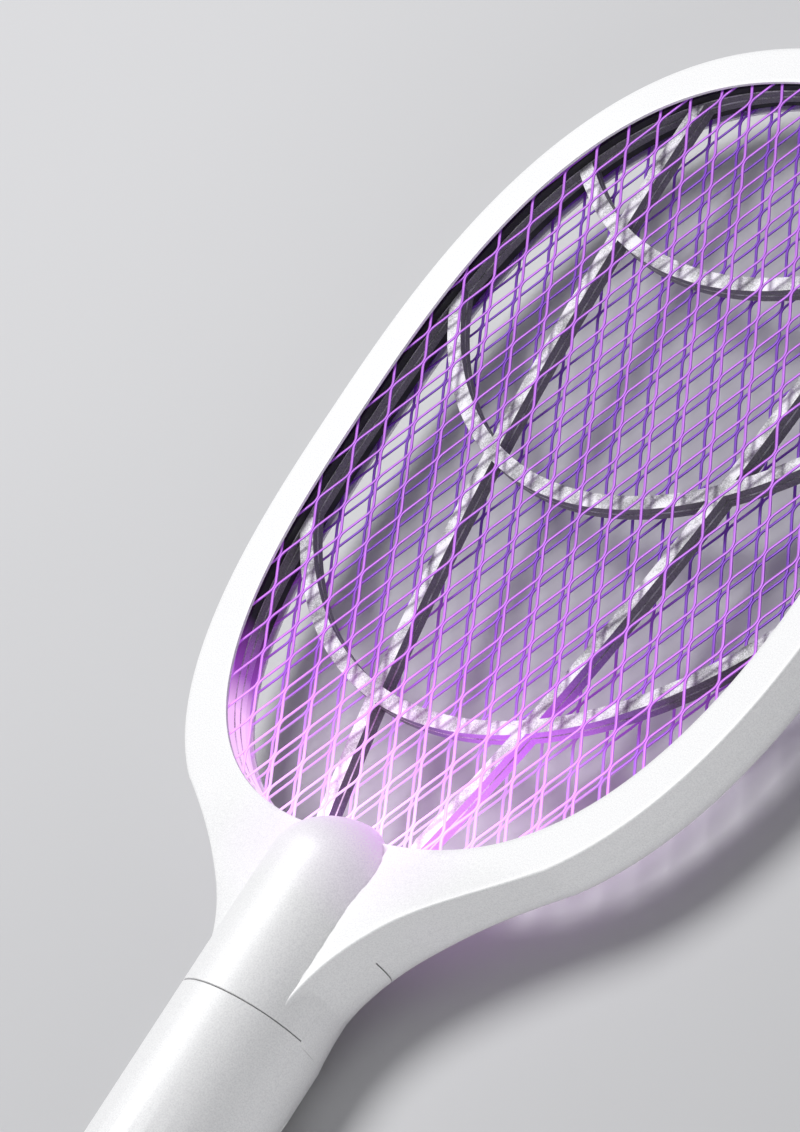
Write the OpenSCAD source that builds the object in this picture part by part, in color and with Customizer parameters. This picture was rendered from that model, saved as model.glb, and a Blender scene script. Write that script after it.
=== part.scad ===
// Electric fly swatter: a racket-shaped mosquito zapper with a violet lure lamp.
// It lies on its back: X across the head, +Y towards the head's top, +Z out of the front face.
// The origin is under the middle of its length. Inside most modules Z is counted from the
// handle's axis, and in_place() lifts the finished piece so that the back rests on Z = 0.

/* [Overall] */
// Length from the head's top to the handle's end
total_length = 490; // [480:1:510]

/* [Head] */
// Half of the head's width
head_half_w = 106.4; // [105.5:0.1:107.5]
// Half of the head's length
head_half_l = 126.2; // [125.5:0.1:127]
// Half of the opening's width
open_half_w = 94.5; // [94:0.1:95]
// Half of the opening's length
open_half_l = 114; // [113.5:0.1:114.5]
// How far the opening's centre lies above the head's centre
open_shift = 1.1; // [0.8:0.1:1.4]
// Height of the head's front face over the handle's axis
rim_front = 6; // [5.8:0.1:6.4]
// Depth of the head's back under the handle's axis
rim_back = 8.2; // [7.8:0.1:9]
// Thickness of the lip that covers the edge of a mesh
lip = 0.75; // [0.7:0.05:0.9]

/* [Meshes] */
// Long diagonal of a diamond, along the racket
diamond_long = 17.88; // [16:0.02:20]
// Short diagonal of a diamond, across the racket
diamond_short = 11.32; // [10:0.02:13]
// Width of a strand
strand_w = 1; // [0.8:0.1:1.4]
// Thickness of the sheet
mesh_t = 0.8; // [0.6:0.1:0.8]
// Distance of each mesh from the racket's middle plane
mesh_z = 4.5; // [4.4:0.1:4.6]

/* [Ribs] */
// Width of a rib
rib_w = 4.2; // [3.6:0.1:5]
// Half of the thickness of the rib pack
rib_half_t = 2.1; // [1.8:0.1:2.2]
// Radius of the two long ribs
spoke_r = 680; // [640:10:720]
// Half of the distance between the long ribs at the top
spoke_half_gap = 50.1; // [48:0.1:52]

/* [Handle] */
// Radius of the grip, measured to its flats
grip_r = 19.4; // [19:0.1:20]
// Number of flats round the grip
grip_flats = 30; // [26:4:34]
// Wall of the handle and neck
wall = 2.2; // [2:0.1:2.4]
// Width of the gap at the seams round the handle
seam_gap = 0.3; // [0.2:0.05:0.4]

/* [Controls] */
// Travel of the zap button and its switch
press_travel = 1.5; // [1:0.1:1.6]
// Travel of the mode knob, in two equal steps
slide_travel = 4; // [3:0.5:4]
// Clearance round the moving pieces
play = 0.3; // [0.25:0.05:0.35]

/* [Hidden] */

// Smoothness
$fn = 48;
outline_steps = 120;      // straight stretches round the head's outlines
head_power = 2.64;        // how square the head's outline is
open_power = 2.7;         // how square the opening is
big = 400;
eps = 0.01;

// Places along the racket
head_y = total_length / 2 - head_half_l;
open_y = head_y + open_shift;
handle_end_y = -total_length / 2;
seam_front_y = head_y - 163.8;
seam_rear_y = head_y - 139.9;
facet_start_y = seam_front_y - 30;
hump_end_y = head_y - 108.2;
hump_round = 15.9;
button_y = handle_end_y + 133;
knob_y = handle_end_y + 107;
light_y = handle_end_y + 92;

// Rim section, counted inwards from the head's outline
channel_in = 1.8;
channel_out = 5.6;
pocket_in = 6.8;
boss_line = 3.9;
pack_gap = 0.05;
rib_groove = 0.6;         // depth of the groove where the rib halves meet
rib_groove_t = 0.2;       // and half of its height
pocket_z = rim_front - lip;
mesh_edge = 2.4;          // how far a mesh reaches under the rim
holder_recess = 0.4;
mesh_band = 1.2;
lug_x = 26;
lug_w = 6;

// Neck: half-width against place, as a Bezier curve from the handle to the head
neck_curve = [[17.3, head_y - 164.9], [17.3, head_y - 139.7],
              [43.8, head_y - 124.5], [68.9, head_y - 109.1]];
neck_steps = 16;
neck_step = 0.05;         // the neck starts this much inside the grip's surface
section_steps = 14;
face_rise = 2.6;          // the neck's front face stands this much over the rim's
face_run = 24;
hollow_end_y = head_y - 120.3;
window = [34, 22];        // opening between the neck's hollow and the rim's pocket

// Electronics, with Z from the handle's axis
board = [26, 82, 1.2];
board_y = handle_end_y + 130;
board_z = 3;
board_top = board_z + board[2];
cell_r = 9.2;
cell_l = 65;
cell_y = handle_end_y + 49.5;
charge_z = -2.6;
lead_d = 1.4;

// Screws
screw_x = 12.5;
screw_ys = [handle_end_y + 11, handle_end_y + 84.5, seam_front_y - 17, seam_front_y + 11];
head_screw_angles = [-44, 0, 44, 78, 102, 136, 180, 224];
board_screw_spots = [for (x = [-10, 10], y = [-36, 36]) [x, board_y + y]];

// ---------------------------------------------------------------- outlines and helpers

function radial(a, b, n, t) = pow(pow(abs(cos(t)) / a, n) + pow(abs(sin(t)) / b, n), -1 / n);
function superellipse(a, b, n) = [for (i = [0:outline_steps - 1])
    let (t = 360 * i / outline_steps, r = radial(a, b, n, t)) [r * cos(t), r * sin(t)]];
function on_outline(inset, t) =
    let (r = radial(head_half_w - inset, head_half_l - inset, head_power, t))
    [r * cos(t), head_y + r * sin(t)];
function bezier(p, t) = pow(1 - t, 3) * p[0] + 3 * pow(1 - t, 2) * t * p[1]
    + 3 * (1 - t) * t * t * p[2] + pow(t, 3) * p[3];
function clamp01(v) = max(0, min(1, v));
function smooth(v) = let (u = clamp01(v)) u * u * (3 - 2 * u);

module in_place() translate([0, 0, grip_r]) children();

module slab(z0, z1) translate([0, 0, z0]) linear_extrude(z1 - z0) children();

module head_outline(inset = 0)
    translate([0, head_y])
        polygon(superellipse(head_half_w - inset, head_half_l - inset, head_power));

module open_outline(grow = 0)
    translate([0, open_y]) polygon(superellipse(open_half_w + grow, open_half_l + grow, open_power));

// Keeps what lies between two places along Y and two heights
module keep(y0, y1, z0, z1) intersection() {
    union() children();
    translate([-big / 2, y0, z0]) cube([big, y1 - y0, z1 - z0]);
}

// A rod along Y
module rod(r, y0, y1, x = 0, z = 0)
    translate([x, y0, z]) rotate([-90, 0, 0]) cylinder(r = r, h = y1 - y0);

module upright(r, z0, z1, x, y) translate([x, y, z0]) cylinder(r = r, h = z1 - z0);

module block(size_x, size_y, z0, z1, x = 0, y = 0)
    translate([x - size_x / 2, y - size_y / 2, z0]) cube([size_x, size_y, z1 - z0]);

// A slot with round ends, long along Y
module stadium(w, l) union() {
    square([w, l - w], center = true);
    for (s = [-1, 1]) translate([0, s * (l - w) / 2]) circle(d = w);
}

// A round wire along a list of points: one ring of corners at each point
function unit(v) = v / norm(v);
function wire_dir(p, i) = unit(p[min(i + 1, len(p) - 1)] - p[max(i - 1, 0)]);
function wire_ring(c, d, r) =
    let (side = unit(cross(d, abs(d[2]) < 0.9 ? [0, 0, 1] : [1, 0, 0])), up = cross(side, d))
    [for (k = [0:7]) c + r * (cos(45 * k) * side + sin(45 * k) * up)];
module wire(p, d = lead_d) {
    n = len(p);
    rings = [for (i = [0:n - 1]) wire_ring(p[i], wire_dir(p, i), d / 2)];
    sides = [for (i = [0:n - 2], k = [0:7]) let (a = 8 * i + k, b = 8 * i + (k + 1) % 8)
        each [[a, b, b + 8], [a, b + 8, a + 8]]];
    polyhedron([for (r = rings) each r],
        concat(sides, [[for (k = [7:-1:0]) k], [for (k = [0:7]) 8 * (n - 1) + k]]));
}
function mirror_x(p) = [for (q = p) [-q[0], q[1], q[2]]];

// ---------------------------------------------------------------- the outer form

function neck_face(y) = rim_front + face_rise * smooth((neck_curve[3][1] - y) / face_run);
function neck_back(y) =
    let (u = clamp01((neck_curve[3][1] - y) / (neck_curve[3][1] - neck_curve[0][1])))
    rim_back + (grip_r - neck_step - rim_back) * pow(u, 1.6);
function back_power(y) =
    let (u = clamp01((neck_curve[3][1] - y) / (neck_curve[3][1] - neck_curve[0][1])))
    2 + 5 * pow(1 - u, 1.5);

// One cross-section of the neck: a flat face, a straight side and a rounded back
function neck_section(y, w, inset) =
    let (half = w - inset, wide = max(w, grip_r - neck_step) - inset, face = neck_face(y) - inset,
         deep = neck_back(y) - inset, e = 2 / back_power(y))
    concat([[half, y, face]],
        [for (k = [0:section_steps]) let (t = 180 * k / section_steps, c = cos(t))
            [wide * sign(c) * pow(abs(c), e), y, -deep * pow(sin(t), e)]],
        [[-half, y, face]]);

module neck(inset, y_end) {
    m = section_steps + 3;
    t_end = y_end < neck_curve[3][1] ? 0.8 : 1;
    ys = [for (j = [0:neck_steps]) bezier(neck_curve, t_end * j / neck_steps)];
    points = [for (q = ys) each neck_section(min(q[1], y_end), q[0], inset)];
    sides = [for (j = [0:neck_steps - 1], k = [0:m - 1])
        let (a = j * m + k, b = j * m + (k + 1) % m) each [[a, a + m, b + m], [a, b + m, b]]];
    polyhedron(points, concat(sides, [[for (k = [0:m - 1]) k],
        [for (k = [m - 1:-1:0]) neck_steps * m + k]]));
}

// The lamp cover's half-round form, which carries the handle's cylinder on to a domed end
module bullet(r, y_tip) {
    start = seam_front_y - 6;
    keep(start, big, 0, big) rotate([-90, 0, 0]) rotate_extrude($fn = 96) polygon(concat(
        [[0, start], [r, start]],
        [for (k = [0:8]) let (t = 90 * k / 8) [r * cos(t), y_tip - hump_round * (1 - sin(t))]]));
}

module grip_outer(y_end) {
    corner = 5;
    rotate([-90, 0, 0]) rotate_extrude($fn = 96) polygon(concat(
        [[0, handle_end_y]],
        [for (k = [0:5]) let (t = 90 * k / 5)
            [grip_r - corner * (1 - sin(t)), handle_end_y + corner * (1 - cos(t))]],
        [[grip_r, handle_end_y + corner + 2], [0, handle_end_y + corner + 2]]));
    translate([0, facet_start_y, 0]) rotate([90, 0, 0])
        linear_extrude(facet_start_y - handle_end_y - corner - 1) polygon([for (i = [0:grip_flats - 1])
            let (t = 360 * i / grip_flats, r = grip_r / cos(180 / grip_flats)) [r * cos(t), r * sin(t)]]);
    rod(grip_r, facet_start_y - 1, y_end, $fn = 96);
}

// Everything hollow in the handle and neck, less what stands in it
module hollow() difference() {
    union() {
        rod(grip_r - wall, handle_end_y + wall + 0.3, seam_front_y - 1, $fn = 96);
        bullet(grip_r - wall, hump_end_y - wall);
        neck(wall, hollow_end_y);
    }
    children();
}

module rim_pocket(z0, z1) slab(z0, z1) head_outline(pocket_in);

module rim_channel(z0, z1) difference() {
    slab(z0, z1) difference() {
        head_outline(channel_in);
        head_outline(channel_out);
    }
    for (t = head_screw_angles) let (p = on_outline(boss_line, t)) upright(2.4, z0 - 1, z1 + 1, p[0], p[1]);
}

module neck_window(z0, z1)
    translate([-window[0], open_y - open_half_l - window[1] + 4, z0]) cube([2 * window[0], window[1], z1 - z0]);

// A solid with one superellipse outline per level; each level is [height, half-width, half-length]
module outline_stack(levels, y, power) {
    n = outline_steps;
    m = len(levels);
    points = [for (l = levels) each [for (p = superellipse(l[1], l[2], power)) [p[0], p[1] + y, l[0]]]];
    sides = [for (j = [0:m - 2], k = [0:n - 1])
        let (a = j * n + k, b = j * n + (k + 1) % n) each [[a, b, b + n], [a, b + n, a + n]]];
    polyhedron(points, concat(sides, [[for (k = [0:n - 1]) k], [for (k = [n - 1:-1:0]) (m - 1) * n + k]]));
}
function rim_level(z, inset) = [z, head_half_w - inset, head_half_l - inset];
function open_level(z, grow) = [z, open_half_w + grow, open_half_l + grow];

module screw_columns(r, z0, z1, ys)
    for (y = ys, s = [-1, 1]) upright(r, z0, z1, s * screw_x, y);

// ---------------------------------------------------------------- shells

module front_head_shell() color("white") in_place() difference() {
    union() {
        difference() {
            union() {
                slab(0, rim_front) head_outline();
                keep(seam_front_y + seam_gap / 2, big, 0, big) neck(0, neck_curve[3][1]);
            }
            slab(-1, rim_front + face_rise + 1) open_outline();
        }
        // the lamp cover's domed end stands out over the mesh, open underneath
        keep(seam_front_y + seam_gap / 2, big, 0, big) bullet(grip_r, hump_end_y);
    }
    keep(seam_front_y - 5, big, -1, big) hollow() screw_columns(2.8, -1, big, [screw_ys[3]]);
    rim_channel(-1, pocket_z - 0.9);
    rim_pocket(-1, pocket_z);
    neck_window(-1, pocket_z);
    screw_columns(0.9, -1, 8, [screw_ys[3]]);
    for (t = head_screw_angles) let (p = on_outline(boss_line, t)) upright(0.8, -1, 4, p[0], p[1]);
}

module rear_head_shell() color("white") in_place() difference() {
    union() {
        outline_stack([rim_level(0, 0), rim_level(-3, 0), rim_level(-6.4, 1.6), rim_level(-rim_back, 4.6)],
            head_y, head_power);
        keep(seam_rear_y + seam_gap / 2, big, -big, 0) neck(0, neck_curve[3][1]);
    }
    // the back slopes in to a thin lip round the opening
    outline_stack([open_level(1, 0), open_level(-rim_front, 0), open_level(-rim_back, 4),
        open_level(-rim_back - 1, 4)], open_y, open_power);
    keep(seam_rear_y - 5, big, -big, 1) hollow();
    rim_channel(-5, 1);
    rim_pocket(-pocket_z, 1);
    neck_window(-pocket_z, 1);
    for (t = head_screw_angles) let (p = on_outline(boss_line, t)) {
        upright(1.1, -rim_back - 1, 1, p[0], p[1]);
        upright(2, -rim_back - 1, -4, p[0], p[1]);
    }
}

module cell_saddles() for (y = [cell_y - 22, cell_y + 22]) difference() {
    block(17, 2.4, -big / 2, big / 2, 0, y);
    rod(cell_r + 0.15, y - 3, y + 3);
}

module charge_port_cut(grow) rotate([90, 0, 0]) translate([0, 0, -handle_end_y - 5]) linear_extrude(10)
    rotate([0, 0, 90]) stadium(3.3 + grow, 9 + grow);

module front_handle_shell() color("white") in_place() difference() {
    keep(handle_end_y - 1, seam_front_y - seam_gap / 2, 0, big) grip_outer(seam_front_y);
    keep(handle_end_y, seam_front_y + 1, -1, big) hollow() {
        screw_columns(2.8, -1, big, [for (i = [0:2]) screw_ys[i]]);
        cell_saddles();
        block(23, 27, 13.4, big, 0, button_y);
        block(15, 26, 14.2, big, 0, knob_y);
        upright(3, 12, big, 0, light_y);
    }
    slab(10, big) translate([0, button_y]) stadium(10.6 + 2 * play, 16.6 + 2 * play);
    block(4.6 + 2 * play, 7 + slide_travel + 2 * play, 10, big, 0, knob_y);
    upright(1.55, 5, big, 0, light_y);
    screw_columns(0.9, -1, 8, [for (i = [0:2]) screw_ys[i]]);
    charge_port_cut(0.6);
}

module rear_handle_shell() color("white") in_place() difference() {
    union() {
        keep(handle_end_y - 1, seam_rear_y - seam_gap / 2, -big, 0) {
            grip_outer(neck_curve[0][1] + 0.2);
            neck(0, neck_curve[3][1]);
        }
        for (p = board_screw_spots) upright(2.4, 0, board_z, p[0], p[1]);
    }
    keep(handle_end_y, seam_rear_y + 1, -big, 0) hollow() {
        screw_columns(3, -big, big, screw_ys);
        cell_saddles();
        for (p = board_screw_spots) upright(2.6, -big, big, p[0], p[1]);
        for (y = [6, 13]) block(18, 2, -big, charge_z, 0, handle_end_y + y);
    }
    screw_columns(1.2, -big, 1, screw_ys);
    screw_columns(2.3, -big, -7, screw_ys);
    for (p = board_screw_spots) upright(0.8, -10, board_z + 1, p[0], p[1]);
    charge_port_cut(0.6);
}

// ---------------------------------------------------------------- head internals

// Black ring that carries one mesh; side is 1 for the front and -1 for the back
module mesh_holder(side) mirror([0, 0, side < 0 ? 1 : 0]) difference() {
    union() {
        slab(rib_half_t, mesh_z - mesh_t / 2 - pack_gap) difference() {
            head_outline(pocket_in + pack_gap);
            open_outline(holder_recess);
        }
        slab(mesh_z - mesh_t / 2 - pack_gap - eps, pocket_z - pack_gap) difference() {
            head_outline(pocket_in + pack_gap);
            open_outline(mesh_edge + pack_gap);
        }
    }
    block(lug_w + 1, 20, rib_half_t + 0.6, pocket_z, -side * lug_x, open_y - open_half_l - 6);
}

module rib_lines(w) intersection() {
    open_outline(1);
    union() {
        for (s = [-1, 1]) translate([s * (spoke_half_gap - spoke_r), head_y + 95]) difference() {
            circle(r = spoke_r + w / 2, $fn = 720);
            circle(r = spoke_r - w / 2, $fn = 720);
        }
        // bowed ribs: radius, and lowest point counted from the head's centre
        for (arc = [[117.6, -76.7], [109.6, -10.1], [117.6, 56.5]])
            translate([0, head_y + arc[1] + arc[0]]) difference() {
                circle(r = arc[0] + w / 2, $fn = 240);
                circle(r = arc[0] - w / 2, $fn = 240);
            }
    }
}

// The halves meet on a narrower core, which leaves a fine dark groove along every rib
module rib_grid(side) mirror([0, 0, side < 0 ? 1 : 0]) difference() {
    union() {
        slab(rib_groove_t, rib_half_t) union() {
            difference() {
                head_outline(pocket_in + pack_gap);
                open_outline();
            }
            rib_lines(rib_w);
        }
        slab(0, rib_groove_t + eps) {
            difference() {
                head_outline(pocket_in + pack_gap);
                open_outline(1 - eps);
            }
            rib_lines(rib_w - 2 * rib_groove);
        }
    }
    block(34, 30, -1, rib_half_t + 1, 0, open_y - open_half_l - 8);
}

// Expanded sheet: diamonds in rows, each alternate row moved by half a diamond
module mesh_sheet(side) {
    hole_l = diamond_long - strand_w / sin(atan(diamond_short / diamond_long));
    hole_s = hole_l * diamond_short / diamond_long;
    z0 = side * mesh_z - mesh_t / 2;
    rows = ceil(open_half_l * 2 / diamond_long) + 1;
    cols = ceil(open_half_w * 2 / diamond_short) + 1;
    slab(z0, z0 + mesh_t) difference() {
        open_outline(mesh_edge);
        for (i = [-cols:cols], j = [-rows:rows])
            let (x = -6 + diamond_short * i / 2, y = open_y + diamond_long * j / 2)
            if ((i + j) % 2 != 0 && reaches(x, y - open_y)) translate([x, y])
                polygon([[hole_s / 2, 0], [0, hole_l / 2], [-hole_s / 2, 0], [0, -hole_l / 2]]);
    }
    slab(z0, z0 + mesh_t) difference() {
        union() {
            open_outline(mesh_edge);
            translate([-side * lug_x - lug_w / 2, open_y - open_half_l - 9]) square([lug_w, 12]);
        }
        open_outline(mesh_edge - mesh_band);
    }
}
function reaches(x, y) = norm([x, y]) < radial(open_half_w, open_half_l, open_power, atan2(y, x)) + 6;

module front_mesh_holder() color("#1c1c1e") in_place() mesh_holder(1);
module rear_mesh_holder() color("#1c1c1e") in_place() mesh_holder(-1);
module front_rib_grid() color("gainsboro") in_place() rib_grid(1);
module rear_rib_grid() color("gainsboro") in_place() rib_grid(-1);
module front_mesh() color("silver") in_place() mesh_sheet(1);
module rear_mesh() color("silver") in_place() mesh_sheet(-1);

module lamp_lens() color("thistle", 0.5) in_place() intersection() {
    slab(0.1 - rib_half_t, rib_half_t - 0.1) difference() {
        head_outline(pocket_in + 0.3);
        open_outline(0.1);
    }
    block(33.4, 30, -big, big, 0, open_y - open_half_l - 8);
}

lamp_y = open_y - open_half_l - 6.8;

module uv_leds() color("mediumpurple") in_place() for (x = [-11, 0, 11]) {
    rod(2.5, lamp_y - 6.6, lamp_y - 2.5, x);
    translate([x, lamp_y - 2.5, 0]) sphere(r = 2.5);
    rod(2.9, lamp_y - 7.6, lamp_y - 6.6, x);
}

module lamp_board() color("darkgreen") in_place()
    block(34, 1, -4, 4, 0, lamp_y - 8.1);

// ---------------------------------------------------------------- handle internals

module main_board() color("darkgreen") in_place() difference() {
    block(board[0], board[1], board_z, board_top, 0, board_y);
    for (p = board_screw_spots) upright(1.15, 0, 10, p[0], p[1]);
}

transformer_y = board_y + 25;
module transformer_core() color("dimgray") in_place() difference() {
    block(14, 12, board_top, board_top + 9.6, 0, transformer_y);
    for (s = [-1, 1]) block(3.4, 14, board_top + 1.6, board_top + 8, s * 3.9, transformer_y);
}
module transformer_winding() color("goldenrod") in_place() difference() {
    block(11, 10, board_top + 1.7, board_top + 7.9, 0, transformer_y);
    block(4.5, 12, board_top, board_top + 9, 0, transformer_y);
}
module high_voltage_capacitor() color("firebrick") in_place()
    block(8, 14, board_z - 9, board_z, -3, board_y + 20);
module multiplier_diodes() color("#202020") in_place()
    for (k = [0:3]) rod(1.3, board_y - 3 + 7 * k, board_y + 2 + 7 * k, 7.5, board_z - 1.3);
module bleed_resistors() color("tan") in_place()
    for (k = [0:1]) rod(1.2, board_y - 22 + 9 * k, board_y - 16 + 9 * k, -6, board_z - 1.2);

plunger_top = 12.1;
module push_switch_body() color("#303034") in_place() difference() {
    block(8, 8, board_top, board_top + 5.2, 0, button_y);
    upright(2.1, board_top + 0.2, board_top + 6, 0, button_y);
}
module push_switch_plunger() color("white") in_place()
    upright(1.8, plunger_top - 5.9, plunger_top, 0, button_y);
module zap_button() color("lightgray") in_place() {
    intersection() {
        slab(plunger_top + 0.1, big) translate([0, button_y]) stadium(10.6, 16.6);
        rod(grip_r + 1.4, button_y - 20, button_y + 20, $fn = 96);
    }
    slab(plunger_top + 0.1, plunger_top + 1.1) translate([0, button_y]) stadium(13.6, 19.6);
}

module slide_switch_body() color("silver") in_place() difference() {
    block(5, 11, board_top, board_top + 4.6, 0, knob_y);
    block(2.6, 2 + slide_travel + 2 * play, board_top + 1, board_top + 5, 0, knob_y);
}
knob_rest_y = knob_y - slide_travel / 2;
module slide_switch_lever() color("#202020") in_place()
    block(2, 2, board_top + 1.2, 13.8, 0, knob_rest_y);
module mode_knob() color("lightgray") in_place() difference() {
    union() {
        block(11, 19, 13, 14, 0, knob_rest_y);
        intersection() {
            block(4.6, 7, 13.5, big, 0, knob_rest_y);
            rod(grip_r + 1.2, knob_rest_y - 10, knob_rest_y + 10, $fn = 96);
        }
    }
    block(2.1, 2.1, 12, 13.8, 0, knob_rest_y);
    for (k = [-1:1]) block(6, 0.6, grip_r + 0.7, big, 0, knob_rest_y + 1.8 * k);
}

module status_led() color("palegreen") in_place()
    block(1.6, 3.2, board_top, board_top + 1.1, 0, light_y);
module status_light_pipe() color("white", 0.6) in_place()
    upright(1.5, board_top + 2, grip_r, 0, light_y);

module battery_cell() color("steelblue") in_place() {
    rod(cell_r, cell_y - cell_l / 2, cell_y + cell_l / 2);
    rod(3, cell_y + cell_l / 2, cell_y + cell_l / 2 + 0.6);
}
module battery_tabs() color("lightsteelblue") in_place() {
    block(5, 0.3, -3, 6.5, 0, cell_y + cell_l / 2 + 0.75);
    block(5, 0.3, -3, 6.5, 0, cell_y - cell_l / 2 - 0.15);
}

module charge_board() color("darkgreen") in_place()
    block(16, 12.4, charge_z, charge_z + 1, 0, handle_end_y + 9.2);
module charge_socket() color("silver") in_place() difference() {
    rotate([90, 0, 0]) translate([0, 0, -handle_end_y - 7.6]) linear_extrude(7.3)
        rotate([0, 0, 90]) stadium(3.2, 8.9);
    rotate([90, 0, 0]) translate([0, 0, -handle_end_y - 6.6]) linear_extrude(8)
        rotate([0, 0, 90]) stadium(2.6, 8.3);
}

// ---------------------------------------------------------------- screws

module screw(head_r, head_h, shank_r, length) {
    difference() {
        cylinder(r = head_r, h = head_h);
        for (a = [0, 90]) rotate(a) translate([-head_r * 0.6, -0.2, -1]) cube([head_r * 1.2, 0.4, 1.6]);
    }
    cylinder(r = shank_r, h = head_h + length);
}
module board_screws() color("silver") in_place()
    for (p = board_screw_spots) translate([p[0], p[1], board_top + 1.2]) mirror([0, 0, 1])
        screw(1.9, 1.2, 0.8, 7);
module head_screws() color("silver") in_place()
    for (t = head_screw_angles) let (p = on_outline(boss_line, t))
        translate([p[0], p[1], -5.4]) screw(1.8, 1.4, 0.8, 7.6);
module handle_screws() color("silver") in_place()
    for (y = screw_ys, s = [-1, 1]) translate([s * screw_x, y, -8.6]) screw(2.1, 1.6, 0.9, 14);

// ---------------------------------------------------------------- leads, held inside the shells

lug_point = [-lug_x, open_y - open_half_l - 7, mesh_z - mesh_t / 2 - lead_d / 2];
lead_start = [-8, board_y + 38, board_top + lead_d / 2];
front_route = [lead_start, lead_start + [0, 6, 0.6], [-6, seam_front_y - 8, 6], [-5.5, seam_front_y + 8, 5],
    [-8, seam_front_y + 18, 4.2], [-16, seam_front_y + 27, 3.4], [-23, lug_point[1] - 6, 3.2], lug_point];
rear_route = [for (p = mirror_x(front_route)) [p[0], p[1],
    p[1] < seam_front_y - 10 ? p[2] : p[1] < seam_front_y ? 2 : -p[2]]];
module front_mesh_lead() color("crimson") in_place() wire(front_route);
module rear_mesh_lead() color("#222222") in_place() wire(rear_route);

module lamp_leads() color("whitesmoke") in_place() for (x = [-1.5, 1.5])
    wire([[x, board_y + 38, board_top + 0.6], [x, seam_front_y - 18, 6], [x, seam_front_y + 6, 4.5],
        [x, seam_front_y + 20, 1], [x, lamp_y - 8.7, 0]], 1.2);

cell_top_y = cell_y + cell_l / 2;
cell_base_y = cell_y - cell_l / 2;
module battery_leads() color("crimson") in_place() {
    wire([[0, cell_top_y + 1.7, 5.6], [1, cell_top_y + 4.7, 5.6], [3, board_y - 38, board_top + 0.8]], 1.6);
    wire([[-2, cell_base_y - 1.1, 5.6], [-9, cell_base_y - 1.4, 6.2], [-11.4, cell_base_y + 3, 5.2],
        [-11.4, cell_y, 5], [-11.4, cell_top_y - 5, 5], [-8, cell_top_y + 3, 5],
        [-6.5, board_y - 38, board_top + 0.8]], 1.6);
}
module charge_leads() color("dimgray") in_place() for (k = [0, 1])
    wire([[2.8 + 3 * k, cell_base_y - 3 - 1.5 * k, charge_z + 1.65],
        [9.4 + 0.6 * k, cell_base_y - 1.6 - 0.8 * k, 1.2 + 3 * k], [11.4, cell_base_y + 2, 3 + 2 * k],
        [10.6, cell_top_y - 10, 4 + 2.4 * k], [8.2 - 1.4 * k, cell_top_y - 1.5, 6.6 + 1.9 * k],
        [7.8 - 1.2 * k, cell_top_y + 5, 6.6 + 1.9 * k], [7.4 - 2.4 * k, board_y - 38, board_top + 0.7]], 1.3);

// ---------------------------------------------------------------- drawing

front_head_shell();
rear_head_shell();
front_handle_shell();
rear_handle_shell();
front_mesh_holder();
rear_mesh_holder();
front_rib_grid();
rear_rib_grid();
front_mesh();
rear_mesh();
lamp_lens();
lamp_board();
uv_leds();
main_board();
transformer_core();
transformer_winding();
high_voltage_capacitor();
multiplier_diodes();
bleed_resistors();
push_switch_body();
push_switch_plunger();
zap_button();
slide_switch_body();
slide_switch_lever();
mode_knob();
status_led();
status_light_pipe();
battery_cell();
battery_tabs();
charge_board();
charge_socket();
board_screws();
head_screws();
handle_screws();
front_mesh_lead();
rear_mesh_lead();
lamp_leads();
battery_leads();
charge_leads();
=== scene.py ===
"""Looks of the electric fly swatter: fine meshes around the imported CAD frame.

Lengths are in millimetres and heights are counted from the handle's axis until a mesh is
made; new_mesh() turns them into metres in the record's frame. Materials count in metres.
"""

import math

import bmesh
import bpy
import numpy as np
from mathutils import Matrix, Vector


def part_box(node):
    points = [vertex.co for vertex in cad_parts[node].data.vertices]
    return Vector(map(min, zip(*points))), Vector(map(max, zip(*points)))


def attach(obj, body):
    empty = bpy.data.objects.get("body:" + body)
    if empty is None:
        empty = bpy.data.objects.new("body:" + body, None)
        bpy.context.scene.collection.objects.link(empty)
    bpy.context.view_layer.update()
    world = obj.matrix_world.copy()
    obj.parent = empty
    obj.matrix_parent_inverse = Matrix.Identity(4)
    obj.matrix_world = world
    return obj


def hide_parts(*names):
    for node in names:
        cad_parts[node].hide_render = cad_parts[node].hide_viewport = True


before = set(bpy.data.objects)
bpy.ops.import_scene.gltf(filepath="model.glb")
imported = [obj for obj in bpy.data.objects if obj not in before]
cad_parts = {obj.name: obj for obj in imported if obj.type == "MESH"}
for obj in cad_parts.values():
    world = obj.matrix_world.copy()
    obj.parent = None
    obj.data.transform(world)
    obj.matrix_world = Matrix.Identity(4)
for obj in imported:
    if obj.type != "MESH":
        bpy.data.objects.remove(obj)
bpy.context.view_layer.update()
MM = 0.001
ROOT = "swatter"


# ------------------------------------------------------------------ sizes, from the CAD boxes
def corners(node):
    low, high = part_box(node)
    return np.array(low) / MM, np.array(high) / MM


head_low, head_high = corners("front_head_shell")
grip_low, grip_high = corners("front_handle_shell")
AXIS = grip_low[2]                      # height of the handle's axis, where the halves part
GRIP_R = AXIS
END_Y = grip_low[1]
SEAM_Y = (head_low[1] + grip_high[1]) / 2
REAR_SEAM_Y = corners("rear_handle_shell")[1][1] + 0.15
HEAD_W, HEAD_L = head_high[0], 126.2
HEAD_Y = head_high[1] - HEAD_L
OPEN_W, OPEN_L, OPEN_Y = 94.5, 114.0, HEAD_Y + 1.1
HEAD_N, OPEN_N = 2.64, 2.7
FACE, BACK, LIP_Z = 6.0, 8.2, 5.25
RISE, RISE_RUN = 2.6, 24.0
NECK = np.array([[17.3, HEAD_Y - 164.9], [17.3, HEAD_Y - 139.7], [43.8, HEAD_Y - 124.5],
                 [68.9, HEAD_Y - 109.1]])
NECK_TOP, NECK_BASE = NECK[3][1], NECK[0][1]
WALL = 2.2
PART = 0.012                            # half of the gap where the front and back halves part
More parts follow.
